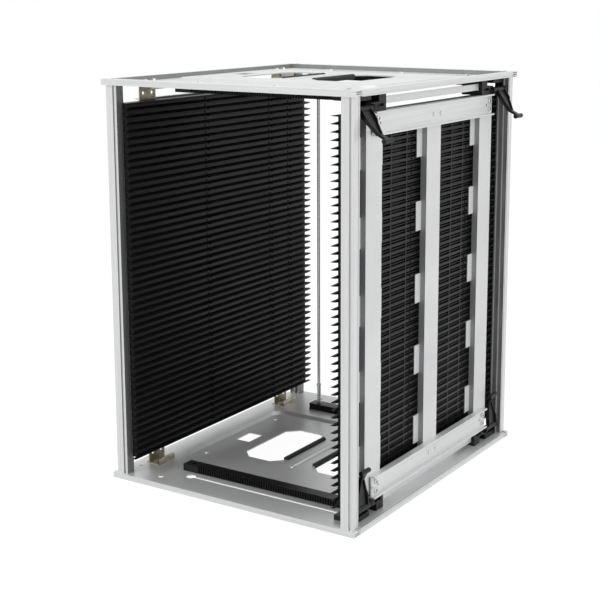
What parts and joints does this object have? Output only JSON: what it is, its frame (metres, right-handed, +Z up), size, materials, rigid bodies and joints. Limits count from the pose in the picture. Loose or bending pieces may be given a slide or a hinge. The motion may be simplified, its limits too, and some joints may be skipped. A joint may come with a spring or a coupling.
{
  "type": "pcb magazine rack",
  "caption": "Open upright rack with ridged side walls that hold circuit boards on their edges; one wall slides on toothed racks and is locked by levers.",
  "frame": {"origin": "on the floor under the middle of the rack's footprint", "axes": "+Z up; the open front faces -Y; the sliding wall is at +X and the fixed wall at -X"},
  "size_m": [0.4245, 0.46, 0.563],
  "materials": {
    "plate_sheet": "satin stamped sheet",
    "rail_alloy": "satin anodised extrusion",
    "post_alloy": "satin anodised extrusion",
    "bar_alloy": "satin anodised extrusion",
    "strip_alloy": "pale satin sheet",
    "guide_plastic": "black moulded plastic, fine satin",
    "rack_plastic": "black moulded plastic",
    "lock_plastic": "black moulded plastic",
    "lever_plastic": "black moulded plastic",
    "grip_rubber": "black rubber",
    "bracket_zinc": "yellow-passivated zinc plating",
    "screw_steel": "bright plated steel"
  },
  "bodies": {
    "frame": {"base_plate": "plate_sheet", "top_plate": "plate_sheet", "base_rail_front": "rail_alloy", "base_rail_rear": "rail_alloy", "base_rail_left": "rail_alloy", "base_rail_right": "rail_alloy", "top_rail_front": "rail_alloy", "top_rail_rear": "rail_alloy", "top_rail_left": "rail_alloy", "top_rail_right": "rail_alloy", "post_front_left": "post_alloy", "post_front_right": "post_alloy", "post_rear_left": "post_alloy", "post_rear_right": "post_alloy", "base_grips": "grip_rubber", "top_grips": "grip_rubber", "base_rack_front": "rack_plastic", "base_rack_rear": "rack_plastic", "top_rack_front": "rack_plastic", "top_rack_rear": "rack_plastic", "post_screws": "screw_steel", "plate_screws": "screw_steel", "stop_spring": "screw_steel", "fixed_bar_base": "bar_alloy", "fixed_bar_top": "bar_alloy", "fixed_strip_front": "strip_alloy", "fixed_strip_middle": "strip_alloy", "fixed_strip_rear": "strip_alloy", "fixed_guides_front": "guide_plastic", "fixed_guides_rear": "guide_plastic", "bracket_base_front": "bracket_zinc", "bracket_base_rear": "bracket_zinc", "bracket_top_front": "bracket_zinc", "bracket_top_rear": "bracket_zinc", "fixed_wall_screws": "screw_steel"},
    "sliding_wall": {"sliding_bar_base": "bar_alloy", "sliding_bar_top": "bar_alloy", "sliding_strip_front": "strip_alloy", "sliding_strip_middle": "strip_alloy", "sliding_strip_rear": "strip_alloy", "sliding_guides_front": "guide_plastic", "sliding_guides_rear": "guide_plastic", "lock_block_base_front": "lock_plastic", "lock_block_base_rear": "lock_plastic", "lock_block_top_front": "lock_plastic", "lock_block_top_rear": "lock_plastic", "lever_pins": "screw_steel", "slide_feet": "screw_steel", "sliding_wall_screws": "screw_steel"},
    "lever_base_front": {"lever_base_front": "lever_plastic"},
    "pawl_base_front": {"pawl_base_front": "lock_plastic"},
    "lever_base_rear": {"lever_base_rear": "lever_plastic"},
    "pawl_base_rear": {"pawl_base_rear": "lock_plastic"},
    "lever_top_front": {"lever_top_front": "lever_plastic"},
    "pawl_top_front": {"pawl_top_front": "lock_plastic"},
    "lever_top_rear": {"lever_top_rear": "lever_plastic"},
    "pawl_top_rear": {"pawl_top_rear": "lock_plastic"},
    "stop_rod": {"stop_rod": "screw_steel"}
  },
  "joints": [
    {"name": "wall_slide", "type": "slide", "parent": "frame", "child": "sliding_wall", "axis": [1, 0, 0], "range_m": [-0.256, 0]},
    {"name": "lever_base_front_hinge", "type": "hinge", "parent": "sliding_wall", "child": "lever_base_front", "pos_m": [0.188, -0.19, 0.025], "axis": [0, 1, 0], "range_deg": [-10, 46]},
    {"name": "pawl_base_front_lift", "type": "slide", "parent": "sliding_wall", "child": "pawl_base_front", "axis": [0, 0, 1], "range_m": [-0.00184, 0.00844]},
    {"name": "lever_base_rear_hinge", "type": "hinge", "parent": "sliding_wall", "child": "lever_base_rear", "pos_m": [0.188, 0.19, 0.025], "axis": [0, 1, 0], "range_deg": [-10, 46]},
    {"name": "pawl_base_rear_lift", "type": "slide", "parent": "sliding_wall", "child": "pawl_base_rear", "axis": [0, 0, 1], "range_m": [-0.00184, 0.00844]},
    {"name": "lever_top_front_hinge", "type": "hinge", "parent": "sliding_wall", "child": "lever_top_front", "pos_m": [0.188, -0.19, 0.538], "axis": [0, -1, 0], "range_deg": [-48, 8]},
    {"name": "pawl_top_front_lift", "type": "slide", "parent": "sliding_wall", "child": "pawl_top_front", "axis": [0, 0, -1], "range_m": [-0.00881, 0.00148]},
    {"name": "lever_top_rear_hinge", "type": "hinge", "parent": "sliding_wall", "child": "lever_top_rear", "pos_m": [0.188, 0.19, 0.538], "axis": [0, -1, 0], "range_deg": [-48, 8]},
    {"name": "pawl_top_rear_lift", "type": "slide", "parent": "sliding_wall", "child": "pawl_top_rear", "axis": [0, 0, -1], "range_m": [-0.00881, 0.00148]},
    {"name": "rod_drop", "type": "slide", "parent": "frame", "child": "stop_rod", "axis": [0, 0, 1], "range_m": [-0.0075, 0], "stiffness_N_per_m": 400, "springref_m": 0.004, "deforming": ["stop_spring"]}
  ],
  "couplings": [
    {"joint": "pawl_base_front_lift", "follows": "lever_base_front_hinge", "m_per_rad": 0.0105},
    {"joint": "pawl_base_rear_lift", "follows": "lever_base_rear_hinge", "m_per_rad": 0.0105},
    {"joint": "pawl_top_front_lift", "follows": "lever_top_front_hinge", "m_per_rad": 0.0105},
    {"joint": "pawl_top_rear_lift", "follows": "lever_top_rear_hinge", "m_per_rad": 0.0105}
  ]
}
